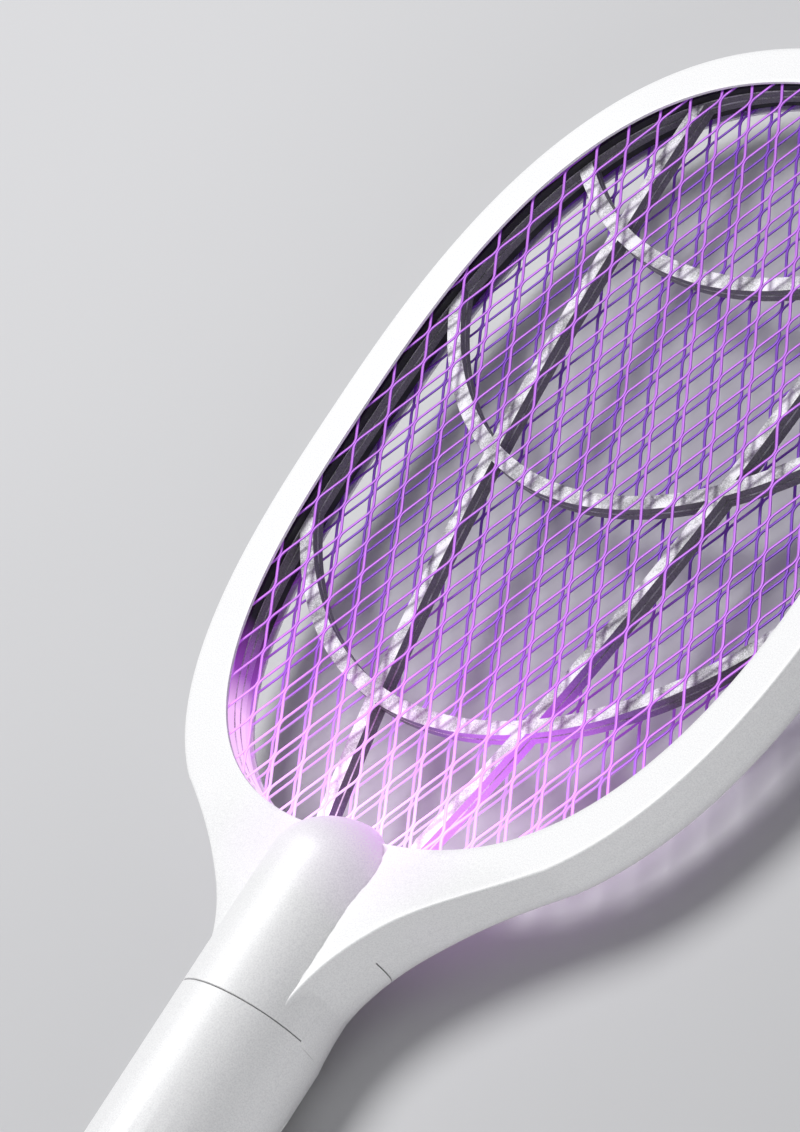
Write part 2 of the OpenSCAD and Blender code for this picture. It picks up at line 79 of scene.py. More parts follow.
RING_GAP = 0.15                         # half of the gap of the seams that run round the racket
RIM_REACH = 4.9                         # how far holders and rib grids reach under the rim
RIB_HALF_T = 2.1                        # depth of one rib grid
MESH_Z = 4.5                            # each mesh's distance from the middle plane


# ------------------------------------------------------------------ small tools
def smooth(v):
    v = np.clip(v, 0.0, 1.0)
    return v * v * (3 - 2 * v)


def superellipse(a, b, n, t):
    c, s = np.cos(t), np.sin(t)
    r = ((np.abs(c) / a) ** n + (np.abs(s) / b) ** n) ** (-1 / n)
    return np.stack([r * c, r * s], -1)


def opening(t, grow=0.0):
    return superellipse(OPEN_W + grow, OPEN_L + grow, OPEN_N, t) + [0, OPEN_Y]


def inside_opening(xy, grow):
    d = xy - [0, OPEN_Y]
    return (np.abs(d[:, 0]) / (OPEN_W + grow)) ** OPEN_N + (np.abs(d[:, 1]) / (OPEN_L + grow)) ** OPEN_N < 1


def bezier(t):
    t = np.asarray(t)[:, None]
    return ((1 - t) ** 3 * NECK[0] + 3 * (1 - t) ** 2 * t * NECK[1]
            + 3 * (1 - t) * t ** 2 * NECK[2] + t ** 3 * NECK[3])


def new_mesh(name, verts, faces):
    me = bpy.data.meshes.new(name)
    me.from_pydata(((np.asarray(verts, float) + [0, 0, AXIS]) * MM).tolist(), [], faces)
    bm = bmesh.new()
    bm.from_mesh(me)
    bmesh.ops.remove_doubles(bm, verts=bm.verts, dist=2e-6)
    bmesh.ops.recalc_face_normals(bm, faces=bm.faces)
    bm.to_mesh(me)
    bm.free()
    return me


def new_object(name, verts, faces):
    o = bpy.data.objects.new(name, new_mesh(name, verts, faces))
    bpy.context.scene.collection.objects.link(o)
    return o


def baked(o):
    """The object's mesh with its modifiers applied."""
    bpy.context.view_layer.update()
    graph = bpy.context.evaluated_depsgraph_get()
    me = bpy.data.meshes.new_from_object(o.evaluated_get(graph), depsgraph=graph)
    o.modifiers.clear()
    o.data = me
    return o


def cut(o, other, how="DIFFERENCE"):
    mod = o.modifiers.new("cut", "BOOLEAN")
    mod.operation, mod.solver, mod.object = how, "EXACT", other
    baked(o)
    bpy.data.objects.remove(other)
    return o


def drop_slivers(o, size=0.006):
    """Removes the needle faces that a union leaves along a shallow crossing."""
    bm = bmesh.new()
    bm.from_mesh(o.data)
    bmesh.ops.remove_doubles(bm, verts=bm.verts, dist=size * MM)
    bmesh.ops.dissolve_degenerate(bm, edges=bm.edges, dist=size * MM)
    bm.to_mesh(o.data)
    bm.free()
    return o


def round_edges(o, width, segments=2, angle=40):
    mod = o.modifiers.new("edge", "BEVEL")
    mod.width, mod.segments, mod.angle_limit = width * MM, segments, math.radians(angle)
    mod.limit_method = "ANGLE"
    mod.use_clamp_overlap = True
    return baked(o)


def finish_piece(o, mat, nodes, body=ROOT, sharp=32):
    o.data.materials.clear()
    o.data.materials.append(mat)
    o.data.shade_smooth()
    o.data.set_sharp_from_angle(angle=math.radians(sharp))
    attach(o, body)
    if nodes:
        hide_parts(*nodes)
    return o


def merge(parts):
    """Several (verts, faces) as one."""
    verts, faces, base = [], [], 0
    for v, f in parts:
        verts.append(np.asarray(v, float))
        faces += [[i + base for i in face] for face in f]
        base += len(v)
    return np.concatenate(verts), faces


def grid_faces(rows, cols, closed_rows=True):
    """Quads of a grid of vertices whose columns close; closed_rows joins the last row to the first."""
    out = []
    for i in range(rows if closed_rows else rows - 1):
        for j in range(cols):
            a, b = i * cols + j, i * cols + (j + 1) % cols
            c, d = ((i + 1) % rows) * cols + (j + 1) % cols, ((i + 1) % rows) * cols + j
            out.append([a, b, c, d])
    return out


def prism(outline, z0, z1):
    n = len(outline)
    p = np.asarray(outline, float)
    v = np.concatenate([np.c_[p, np.full(n, z0)], np.c_[p, np.full(n, z1)]])
    f = [[i, (i + 1) % n, n + (i + 1) % n, n + i] for i in range(n)]
    return v, f + [list(range(n))[::-1], list(range(n, 2 * n))]


def circle(r, x, y, n=48):
    t = np.arange(n) * 2 * math.pi / n
    return np.c_[x + r * np.cos(t), y + r * np.sin(t)]


def rod(r, y0, y1, n=96):
    c = circle(r, 0, 0, n)
    v = np.concatenate([np.c_[c[:, 0], np.full(n, y0), c[:, 1]], np.c_[c[:, 0], np.full(n, y1), c[:, 1]]])
    f = [[i, (i + 1) % n, n + (i + 1) % n, n + i] for i in range(n)]
    return v, f + [list(range(n)), list(range(n, 2 * n))[::-1]]


def stadium(w, l, x=0.0, y=0.0, n=24):
    t = np.arange(n + 1) * math.pi / n
    top = np.c_[w / 2 * np.cos(t), w / 2 * np.sin(t) + (l - w) / 2]
    return np.concatenate([top, -top]) + [x, y]


def rect(w, l, x, y):
    return np.array([[-w, -l], [w, -l], [w, l], [-w, l]]) / 2.0 + [x, y]


# ------------------------------------------------------------------ materials
class Nodes:
    """Short names for building a node tree."""

    def __init__(self, name):
        self.mat = bpy.data.materials.new(name)
        self.mat.use_nodes = True
        self.tree = self.mat.node_tree
        self.bsdf = self.tree.nodes["Principled BSDF"]
        self.place = self.add("ShaderNodeTexCoord").outputs["Object"]

    def add(self, kind, **values):
        node = self.tree.nodes.new(kind)
        for key, value in values.items():
            setattr(node, key, value)
        return node

    def link(self, a, b):
        self.tree.links.new(a, b)

    def noise(self, scale, detail=2.0, rough=0.5, stretch=None):
        node = self.add("ShaderNodeTexNoise")
        node.inputs["Scale"].default_value = scale
        node.inputs["Detail"].default_value = detail
        node.inputs["Roughness"].default_value = rough
        source = self.place
        if stretch:
            m = self.add("ShaderNodeMapping")
            m.inputs["Scale"].default_value = stretch
            self.link(self.place, m.inputs["Vector"])
            source = m.outputs[0]
        self.link(source, node.inputs["Vector"])
        return node.outputs["Fac"]

    def ramp(self, fac, stops):
        node = self.add("ShaderNodeValToRGB")
        els = node.color_ramp.elements
        while len(els) < len(stops):
            els.new(0.5)
        for el, (pos, col) in zip(els, stops):
            el.position, el.color = pos, (*col, 1)
        self.link(fac, node.inputs[0])
        return node.outputs[0]

    def math(self, how, a, b=0.0, clamp=False):
        node = self.add("ShaderNodeMath", operation=how)
        node.use_clamp = clamp
        for k, v in enumerate((a, b)):
            if isinstance(v, (int, float)):
                node.inputs[k].default_value = v
            else:
                self.link(v, node.inputs[k])
        return node.outputs[0]

    def mix(self, fac, a, b, how="MIX"):
        node = self.add("ShaderNodeMix", data_type="RGBA", blend_type=how)
        for k, v in ((0, fac), (6, a), (7, b)):
            if isinstance(v, (int, float)):
                node.inputs[k].default_value = v
            elif isinstance(v, tuple):
                node.inputs[k].default_value = (*v, 1)
            else:
                self.link(v, node.inputs[k])
        return node.outputs[2]

    def bump(self, height, strength, distance):
        node = self.add("ShaderNodeBump")
        node.inputs["Strength"].default_value = strength
        node.inputs["Distance"].default_value = distance
        self.link(height, node.inputs["Height"])
        self.link(node.outputs[0], self.bsdf.inputs["Normal"])

    def set(self, **values):
        for key, value in values.items():
            name = key.replace("_", " ")
            slot = self.bsdf.inputs[name]
            if isinstance(value, bpy.types.NodeSocket):
                self.link(value, slot)
            elif isinstance(value, tuple):
                slot.default_value = (*value, 1)
            else:
                slot.default_value = value
        return self.mat

    def facing_front(self):
        """1 where a face looks out of the front or back of the head, 0 on its sides."""
        geo = self.add("ShaderNodeNewGeometry")
        sep = self.add("ShaderNodeSeparateXYZ")
        self.link(geo.outputs["Normal"], sep.inputs[0])
        up = self.math("ABSOLUTE", sep.outputs[2])
        return self.ramp(up, [(0.45, (0, 0, 0)), (0.8, (1, 1, 1))])

    def lamp_distance(self, reach, across=0.6, aside=0.0):
        """0 at the lure lamp, 1 at reach (metres) and beyond; it fades slower across than along."""
        m = self.add("ShaderNodeVectorMath", operation="SUBTRACT")
        self.link(self.place, m.inputs[0])
        m.inputs[1].default_value = (LAMP[0] + aside, LAMP[1], LAMP[2])
        s = self.add("ShaderNodeVectorMath", operation="MULTIPLY")
        self.link(m.outputs[0], s.inputs[0])
        s.inputs[1].default_value = (across / reach, 1 / reach, 1 / reach)
        n = self.add("ShaderNodeVectorMath", operation="LENGTH")
        self.link(s.outputs[0], n.inputs[0])
        return n.outputs["Value"]


LAMP = (0.0, corners("lamp_lens")[1][1] * MM, AXIS * MM)     # the lens strip's far edge, in metres


def plastic(name, low, high, rough=0.42, grain=2600, glow=False, strength=0.25):
    """Moulded plastic between two colours; glow adds the lamp's light on what is close to it."""
    m = Nodes(name)
    speck = m.noise(grain, 3, 0.7)
    cloud = m.noise(45, 3, 0.5)
    colour = m.ramp(speck, [(0.34, low), (0.62, high)])
    colour = m.mix(m.math("MULTIPLY", cloud, 0.25), colour, high)
    m.bump(speck, strength, 0.00003)
    m.set(Base_Color=colour, Roughness=m.math("ADD", rough - 0.06, m.math("MULTIPLY", cloud, 0.12)))
    if glow:
        light = m.ramp(m.lamp_distance(0.045), [(0.0, (0.40, 0.12, 0.46)), (0.4, (0.05, 0.01, 0.07)),
                                                (0.65, (0, 0, 0))])
        m.set(Emission_Color=light, Emission_Strength=1.0)
    return m.mat


def strands(name, top, side, painted_glow_far):
    m = Nodes(name)
    fine = m.noise(1800, 3, 0.6)
    streak = m.noise(300, 2, 0.5, (1, 0.15, 1))
    # Faces that look sideways take the darker colour and faces that look out front or back the lighter one:
    # painted shade on the strands' sides.
    face = m.mix(m.facing_front(), side, top)
    colour = m.mix(m.math("MULTIPLY", streak, 0.35), face, tuple(0.55 * c for c in side))
    m.bump(fine, 0.3, 0.00002)
    # Emission is painted lamp light: white-pink close to the lamp, fading to a faint painted violet glow
    # everywhere further off.
    near = m.ramp(m.lamp_distance(0.09, 0.36), [(0.0, (1.0, 0.8, 1.0)), (0.3, (0.7, 0.34, 0.75)),
                                                (0.55, (0.22, 0.05, 0.30)), (1.0, painted_glow_far)])
    return m.set(Base_Color=colour, Metallic=0.15, Roughness=0.42, Emission_Color=near,
                 Emission_Strength=1.0)


def rib_material(name, painted_wall_light):
    """The function passed in paints on the walls what they give back of the lamp's light: painted lamp light.
    """
    m = Nodes(name)
    speck = m.noise(2200, 4, 0.75)
    band = m.noise(150, 2, 0.5)
    # The fine speck is the plastic's grain; the larger band patches darken the fronts towards dark grey as
    # painted soft shadows of the strands.
    both = m.math("ADD", m.math("MULTIPLY", speck, 0.55), m.math("MULTIPLY", band, 0.55))
    front = m.ramp(both, [(0.40, (0.20, 0.20, 0.205)), (0.52, (0.52, 0.52, 0.53)),
                          (0.62, (0.88, 0.88, 0.89))])
    # Sides get dark grey and fronts light grey by which way a face looks: painted shade on the sides.
    side = m.ramp(speck, [(0.3, (0.09, 0.088, 0.092)), (0.7, (0.26, 0.25, 0.265))])
    colour = m.mix(m.facing_front(), side, front)
    m.bump(speck, 0.35, 0.00004)
    away = m.lamp_distance(0.085, 0.42)
    # Fronts close to the lamp get painted lamp light.
    painted_front_lamp_light = m.ramp(away, [(0.0, (0.7, 0.5, 0.7)), (0.35, (0.16, 0.05, 0.18)), (0.7, (0, 0, 0))])
    glow = m.mix(m.facing_front(), painted_wall_light(m), painted_front_lamp_light)
    return m.set(Base_Color=colour, Roughness=0.5, Emission_Color=glow, Emission_Strength=1.0)


def painted_rib_lamp_light(m):
    """Painted violet lamp light on the walls of the ribs right of the lamp."""
    return m.ramp(m.lamp_distance(0.08, 1.3, 0.034), [(0.0, (0.9, 0.35, 1.0)), (0.45, (0.55, 0.10, 0.85)),
                                                      (0.7, (0.10, 0.01, 0.22)), (0.9, (0, 0, 0))])


def painted_ring_lamp_light(m):
    """Painted pink lamp light on the walls round the lower end of the opening."""
    return m.ramp(m.lamp_distance(0.08, 0.25), [(0.0, (1.0, 0.75, 1.0)), (0.4, (0.9, 0.5, 0.95)),
                                                (0.52, (0.25, 0.04, 0.40)), (0.7, (0, 0, 0))])


def holder_material():
    m = Nodes("holder_painted_shade")
    speck = m.noise(2000, 3, 0.7)
    near = painted_ring_lamp_light(m)
    m.bump(speck, 0.3, 0.00003)
    # Near black so the slots under the rim read as deep shade: painted shade; the emission is painted lamp
    # light.
    return m.set(Base_Color=m.mix(speck, (0.006, 0.006, 0.007), (0.02, 0.02, 0.022)), Roughness=0.55,
                 Emission_Color=near, Emission_Strength=1.0)


def metal(name, low, high, rough=0.3):
    m = Nodes(name)
    grain = m.noise(900, 4, 0.6, (1, 1, 1))
    m.bump(grain, 0.15, 0.00002)
    return m.set(Base_Color=m.mix(grain, low, high), Metallic=1.0,
                 Roughness=m.math("ADD", rough - 0.08, m.math("MULTIPLY", grain, 0.16)))


def clear(name, tint, glow, see_through):
    m = Nodes(name)
    frost = m.noise(700, 2, 0.5)
    m.bump(frost, 0.1, 0.00002)
    brighter_tint = tuple(min(1, c * 1.05) for c in tint)
    brighter_glow = tuple(1.1 * c for c in glow)
    return m.set(Base_Color=m.mix(frost, tint, brighter_tint), Roughness=0.15,
                 Transmission_Weight=see_through, IOR=1.49,
                 Emission_Color=m.mix(frost, glow, brighter_glow), Emission_Strength=1.0)


def board_material():
    m = Nodes("solder_mask")
    weave = m.noise(500, 3, 0.6)
    lanes = m.noise(160, 1, 0.2, (1, 0.25, 1))
    tracks = m.ramp(lanes, [(0.49, (0.012, 0.10, 0.035)), (0.52, (0.03, 0.19, 0.07))])
    m.bump(weave, 0.2, 0.00003)
    return m.set(Base_Color=m.mix(m.math("MULTIPLY", weave, 0.3), tracks, (0.005, 0.05, 0.02)),
                 Roughness=0.35)


def winding_material():
    m = Nodes("enamelled_copper")
    wave = m.add("ShaderNodeTexWave", wave_type="BANDS", bands_direction="Z")
    wave.inputs["Scale"].default_value = 700
    m.link(m.place, wave.inputs["Vector"])
    m.bump(wave.outputs["Fac"], 0.6, 0.0001)
    return m.set(Base_Color=m.mix(wave.outputs["Fac"], (0.30, 0.10, 0.03), (0.65, 0.30, 0.10)),
                 Metallic=0.8, Roughness=0.3)


white = plastic("shell_white", (0.76, 0.76, 0.77), (0.93, 0.93, 0.93), glow=True, strength=0.5)
grey_control = plastic("control_grey", (0.50, 0.51, 0.53), (0.64, 0.65, 0.67), 0.45)
rib_grey = rib_material("rib_grey", painted_rib_lamp_light)
ring_grey = rib_material("rib_ring_grey", painted_ring_lamp_light)
holder_painted_shade = holder_material()
# Each mesh gets a lit top colour, a darker side colour as painted shade and a faint painted glow. The rear
# mesh is a darker copy of the front one: painted shade for the mesh that lies behind.
front_strand = strands("strand_front", (0.62, 0.20, 0.86), (0.20, 0.045, 0.48), (0.04, 0.01, 0.07))
rear_strand = strands("strand_rear", (0.26, 0.07, 0.62), (0.08, 0.02, 0.28), (0.02, 0.004, 0.05))
steel = metal("screw_steel", (0.42, 0.43, 0.45), (0.68, 0.69, 0.71))
nickel = metal("nickel_strip", (0.55, 0.52, 0.47), (0.72, 0.70, 0.66))
plain_black = plastic("moulded_black", (0.010, 0.010, 0.011), (0.03, 0.03, 0.032), 0.4)
ferrite = plastic("ferrite", (0.03, 0.03, 0.033), (0.07, 0.07, 0.075), 0.6)
capacitor = plastic("capacitor_dip", (0.30, 0.035, 0.02), (0.45, 0.06, 0.03), 0.2, 700)
beige = plastic("resistor_coat", (0.45, 0.36, 0.22), (0.58, 0.48, 0.32), 0.4, 900)
sleeve = plastic("cell_sleeve", (0.03, 0.12, 0.32), (0.05, 0.18, 0.42), 0.25, 600)
wire_red = plastic("wire_red", (0.35, 0.01, 0.01), (0.50, 0.02, 0.02), 0.35, 900)
wire_black = plastic("wire_black", (0.010, 0.010, 0.011), (0.025, 0.025, 0.027), 0.35, 900)
wire_white = plastic("wire_white", (0.66, 0.66, 0.64), (0.78, 0.78, 0.76), 0.35, 900)
wire_grey = plastic("wire_grey", (0.10, 0.10, 0.11), (0.18, 0.18, 0.19), 0.35, 900)
solder_mask = board_material()
copper = winding_material()
lens_clear = clear("lamp_lens", (0.95, 0.88, 1.0), (0.9, 0.45, 1.0), 0.5)
led_violet = clear("lamp_led", (0.8, 0.6, 1.0), (1.0, 0.6, 1.3), 0.4)
led_green = clear("status_green", (0.5, 0.9, 0.5), (0.02, 0.06, 0.02), 0.5)
pipe_clear = clear("light_pipe", (0.95, 0.96, 0.95), (0.01, 0.02, 0.01), 0.7)

for node, mat in {
        "lamp_lens": lens_clear, "lamp_board": solder_mask, "uv_leds": led_violet,
        "main_board": solder_mask, "transformer_core": ferrite, "transformer_winding": copper,
        "high_voltage_capacitor": capacitor, "multiplier_diodes": plain_black, "bleed_resistors": beige,
        "push_switch_body": plain_black, "push_switch_plunger": wire_white, "slide_switch_body": steel,
        "slide_switch_lever": plain_black, "status_led": led_green, "status_light_pipe": pipe_clear,
        "battery_cell": sleeve, "battery_tabs": nickel, "charge_board": solder_mask,
        "charge_socket": steel, "board_screws": steel, "head_screws": steel, "handle_screws": steel,
        "front_mesh_lead": wire_red, "rear_mesh_lead": wire_black, "lamp_leads": wire_white,
        "battery_leads": wire_red, "charge_leads": wire_grey}.items():
    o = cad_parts[node]
    o.data.materials.clear()
    o.data.materials.append(mat)


# ------------------------------------------------------------------ head: outline and columns
def half_outline(start_y, least):
    """The right half of the plan, from the neck's base round to the top of the head."""
    t = np.linspace(0, 1, 400)
    curve = bezier(t)
    t = np.interp(np.linspace(start_y, curve[-1][1], 90)[:-1], curve[:, 1], t)
    neck = bezier(t)
    neck[0][1] = start_y
    neck[:, 0] = np.maximum(neck[:, 0], least)
    first = math.atan2(NECK_TOP - HEAD_Y, NECK[3][0])
    ring = superellipse(HEAD_W, HEAD_L, HEAD_N, np.linspace(first, math.pi / 2, 190)) + [0, HEAD_Y]
    return np.concatenate([neck, ring])


def columns(start_y, least):
    """Outer points, their inward normals, and the opening's point that each one looks at."""
    right = half_outline(start_y, least)
    left = (right * [-1, 1])[::-1][1:]
    base = np.c_[np.linspace(left[-1][0], right[0][0], 22)[1:-1], np.full(20, start_y)]
    p = np.concatenate([right, left, base])
    tangent = np.roll(p, -1, 0) - np.roll(p, 1, 0)
    tangent /= np.linalg.norm(tangent, axis=1)[:, None]
    normal = np.c_[-tangent[:, 1], tangent[:, 0]]
    angle = np.arctan2(p[:, 1] - OPEN_Y, p[:, 0])
    return p, normal, angle


def face_height(y):
    return FACE + RISE * smooth((NECK_TOP - y) / RISE_RUN)


def cavity_inset(p, q):
    return 6.8 - 4.4 * smooth((np.linalg.norm(p - q, axis=1) - 13) / 17)


def level(xy, z):
    return np.c_[xy, np.broadcast_to(z, len(xy))]


def front_plate():
    p, n, a = columns(SEAM_Y + RING_GAP, 0)
    q = opening(a)
    edge = 0.7
    rows = [level(p, PART)]
    for k in range(5):
        t = math.pi / 2 * k / 4
        xy = p + n * (edge * (1 - math.cos(t)))
        rows.append(level(xy, face_height(xy[:, 1]) - edge * (1 - math.sin(t))))
    start, stop = p + n * edge, opening(a, 0.18)
    for k in range(1, 11):
        xy = start + (stop - start) * k / 10
        rows.append(level(xy, face_height(xy[:, 1])))
    rows.append(level(opening(a, 0.05), FACE - 0.05))
    rows.append(level(q, FACE - 0.18))
    rows.append(level(q, LIP_Z))
    w = p + n * cavity_inset(p, q)[:, None]
    rows.append(level(w, LIP_Z))
    rows.append(level(w, PART))
    rows = np.stack(rows, 1)
    return rows.reshape(-1, 3), grid_faces(rows.shape[0], rows.shape[1])


def nearest(points, line):
    """Distance from each point to a closed line of dense points."""
    out = np.empty(len(points))
    for i in range(0, len(points), 500):
        d = points[i:i + 500, None, :] - line[None]
        out[i:i + 500] = np.sqrt((d ** 2).sum(-1).min(1))
    return out


def rear_plate():
    """Rounded back of the rim, running down into the neck's half-round back."""
    p, n, a = columns(NECK_BASE, GRIP_R)
    q = opening(a)
    curve = bezier(np.linspace(0, 1, 400))
    insets = [0, 0.03, 0.12, 0.3, 0.6, 1.0, 1.6, 2.4, 3.4, 4.6, 6.0]
    rows = [p + n * d for d in insets]
    start, stop = rows[-1], opening(a, 0.12)
    slope = opening(a, 3.0)
    rows += [start + (slope - start) * smooth(k / 9) for k in range(1, 9)] + [slope, opening(a, 1.5), stop]
    flat = np.concatenate(rows)
    outline = np.concatenate([p[:-20], p[:1]])
    dense = np.concatenate([outline[:-1] + (outline[1:] - outline[:-1]) * k / 4 for k in range(4)])
    d = nearest(flat, dense)
    d[:len(p)] = 0
    ring = 2.2 + 6.0 * np.sqrt(1 - (1 - np.clip(d / 6.0, 0, 1)) ** 2)
    u = np.clip((NECK_TOP - flat[:, 1]) / (NECK_TOP - NECK_BASE), 0, 1)
    half = np.maximum(np.interp(flat[:, 1], curve[:, 1], curve[:, 0]), GRIP_R)
    power = 2 + 5 * (1 - u) ** 1.5
    deep = BACK + (GRIP_R - BACK) * u ** 1.6
    ratio = np.clip(np.abs(flat[:, 0]) / half, 0, 1)
    neck = deep * (1 - ratio ** power) ** (1 / power)
    s = smooth((NECK_TOP - flat[:, 1]) / 22)
    depth = ring * (1 - s) + neck * s
    depth = np.maximum(depth, PART + 0.05)
    g = nearest(flat, opening(np.linspace(0, 2 * math.pi, 2000)))
    depth = np.minimum(depth, FACE + 2.2 * smooth(g / 4.5) + np.maximum(g - 4.5, 0) * 2)
    z = -depth.reshape(len(rows), len(p)).T
    xy = flat.reshape(len(rows), len(p), 2).transpose(1, 0, 2)
    body = np.concatenate([xy, z[..., None]], -1)
    w = p + n * cavity_inset(p, q)[:, None]
    tail = np.stack([level(q, -FACE + 0.15), level(q, -LIP_Z), level(w, -LIP_Z), level(w, -PART),
                     level(p, -PART)], 1)
    allrows = np.concatenate([body, tail], 1)
    return allrows.reshape(-1, 3), grid_faces(allrows.shape[0], allrows.shape[1])


def half_turn(profile, front, grip=0.0):
    """A half shell round the handle's axis: profile is a closed list of (radius, y).

    grip presses the flats in, from 22 mm below the ring seam on."""
    prof = np.array(profile, float)
    turns = 121
    phi = np.linspace(0, math.pi, turns) + (0 if front else math.pi)
    flats = 30
    off = np.mod(phi, 2 * math.pi / flats) - math.pi / flats
    rows = []
    for k, ph in enumerate(phi):
        r = prof[:, 0].copy()
        if grip:
            fade = smooth((SEAM_Y - 22 - prof[:, 1]) / 26) * (prof[:, 0] / GRIP_R) ** 6
            r *= 1 + fade * (1 / math.cos(off[k]) - 1) * grip
        z = r * math.sin(ph)
        z = np.maximum(z, PART) if front else np.minimum(z, -PART)
        rows.append(np.c_[r * math.cos(ph), prof[:, 1], z])
    rows = np.array(rows)
    m = rows.shape[1]
    faces = grid_faces(turns, m, closed_rows=False)
    faces += [list(range(m)), [(turns - 1) * m + i for i in range(m)][::-1]]
    return rows.reshape(-1, 3), faces


def ring_sweep(profile, steps=360):
    """A ring that follows the opening; profile is a closed list of (outwards, height)."""
    t = np.linspace(0, 2 * math.pi, steps, endpoint=False)
    rows = np.stack([level(opening(t, g), z) for g, z in profile], 1)
    return rows.reshape(-1, 3), grid_faces(steps, len(profile))


# front of the head: plate, neck face and lamp hump in one
hump_end, HUMP_ROUND = HEAD_Y - 108.2, 15.9
hump = [(GRIP_R - 0.15, SEAM_Y + RING_GAP), (GRIP_R, SEAM_Y + 0.3), (GRIP_R, SEAM_Y + 14),
        (GRIP_R, hump_end - HUMP_ROUND)]
hump += [(GRIP_R * math.cos(t), hump_end - HUMP_ROUND * (1 - math.sin(t)))
         for t in np.linspace(0, math.pi / 2, 32)[1:]]
inner_r, inner_end = GRIP_R - WALL, hump_end - WALL
hump += [(inner_r * math.cos(t), inner_end - HUMP_ROUND * (1 - math.sin(t)))
         for t in np.linspace(math.pi / 2, 0, 18)]
hump += [(inner_r, SEAM_Y + RING_GAP)]
front_head = new_object("front_shell_skin", *front_plate())
cover = new_object("cover", *half_turn(hump, True))
pocket_line = opening(np.linspace(0, 2 * math.pi, 240, endpoint=False), RIM_REACH + 0.2)
pocket = new_object("pocket", *prism(pocket_line, -2, LIP_Z + 0.01))
cut(cover, pocket)
cut(front_head, cover, "UNION")
drop_slivers(front_head)
finish_piece(front_head, white, ["front_head_shell"], sharp=34)


# back of the head, and the neck's back that belongs to the handle
def split_at(o, y, keep_above):
    bm = bmesh.new()
    bm.from_mesh(o.data)
    geom = bm.verts[:] + bm.edges[:] + bm.faces[:]
    res = bmesh.ops.bisect_plane(bm, geom=geom, plane_co=(0, y * MM, 0), plane_no=(0, 1, 0),
                                 clear_inner=keep_above, clear_outer=not keep_above)
    edges = [g for g in res["geom_cut"] if isinstance(g, bmesh.types.BMEdge)]
    bmesh.ops.holes_fill(bm, edges=edges, sides=0)
    bmesh.ops.recalc_face_normals(bm, faces=bm.faces)
    bm.to_mesh(o.data)
    bm.free()
    return o


def screw_holes(centres, head_r, hole_r, seat, low):
    return merge([prism(circle(head_r, x, y), low, seat) for x, y in centres]
                 + [prism(circle(hole_r, x, y, 24), seat - 1, 3) for x, y in centres])


def screw_centres(node):
    """Middle of each loose piece of a CAD node, across and along."""
    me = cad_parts[node].data
    co = np.array([v.co for v in me.vertices])[:, :2] / MM
    keys = {}
    for x, y in co:
        near = [k for k in keys if math.hypot(k[0] - x, k[1] - y) < 6]
        keys.setdefault(near[0] if near else (x, y), []).append((x, y))
    return [tuple((np.min(v, 0) + np.max(v, 0)) / 2) for v in keys.values()]


head_holes = screw_centres("head_screws")
handle_holes = screw_centres("handle_screws")
rear_head = split_at(new_object("rear_shell_skin", *rear_plate()), REAR_SEAM_Y + RING_GAP, True)
cut(rear_head, new_object("holes", *screw_holes(head_holes, 2.0, 1.1, -4.0, -12)))
finish_piece(rear_head, white, ["rear_head_shell"], sharp=34)


# handle: fluted half tubes
def tube_profile(top_y):
    corner = 5.0
    out = [(GRIP_R - 0.15, top_y), (GRIP_R, top_y - 0.15)]
    out += [(GRIP_R, y) for y in np.linspace(SEAM_Y - 20, SEAM_Y - 50, 9)]
    out += [(GRIP_R, END_Y + corner)]
    out += [(GRIP_R - corner * (1 - math.cos(t)), END_Y + corner * (1 - math.sin(t)))
            for t in np.linspace(0, math.pi / 2, 9)[1:]]
    return out + [(0, END_Y), (0, END_Y + 2.5), (GRIP_R - WALL, END_Y + 2.5), (GRIP_R - WALL, top_y)]


button_low, button_high = corners("zap_button")
pipe_low, pipe_high = corners("status_light_pipe")
switch_low, switch_high = corners("slide_switch_body")
button_y = (button_low[1] + button_high[1]) / 2
knob_slot_y = (switch_low[1] + switch_high[1]) / 2
pipe_y = (pipe_low[1] + pipe_high[1]) / 2


def port_cutter():
    s = stadium(3.9, 9.6)
    n = len(s)
    v = np.concatenate([np.c_[s[:, 1], np.full(n, END_Y - 4), s[:, 0]],
                        np.c_[s[:, 1], np.full(n, END_Y + 5), s[:, 0]]])
    f = [[i, (i + 1) % n, n + (i + 1) % n, n + i] for i in range(n)]
    return v, f + [list(range(n)), list(range(n, 2 * n))[::-1]]


front_handle = new_object("front_handle_skin", *half_turn(tube_profile(SEAM_Y - RING_GAP), True, 1.0))
cut(front_handle, new_object("holes", *merge([
    prism(stadium(11.2, 17.2, 0, button_y), 8, 30), prism(rect(5.2, 11.6, 0, knob_slot_y), 8, 30),
    prism(circle(1.55, 0, pipe_y, 32), 8, 30), port_cutter()])))
finish_piece(front_handle, white, ["front_handle_shell"], sharp=30)

rear_handle = new_object("rear_handle_skin", *half_turn(tube_profile(NECK_BASE + 0.05), False, 1.0))
neck_back = split_at(new_object("neck_back", *rear_plate()), REAR_SEAM_Y - RING_GAP, False)
cut(rear_handle, neck_back, "UNION")
bosses = new_object("bosses", *merge([prism(circle(3.0, x, y), -17, -PART - 0.1) for x, y in handle_holes
                                      if y < NECK_BASE]))
cut(bosses, new_object("core", *rod(GRIP_R - 0.1, END_Y, NECK_BASE)), "INTERSECT")
cut(rear_handle, bosses, "UNION")
cut(rear_handle, new_object("holes", *merge([screw_holes(handle_holes, 2.3, 1.2, -7.0, -22), port_cutter()])))
finish_piece(rear_handle, white, ["rear_handle_shell"], sharp=30)


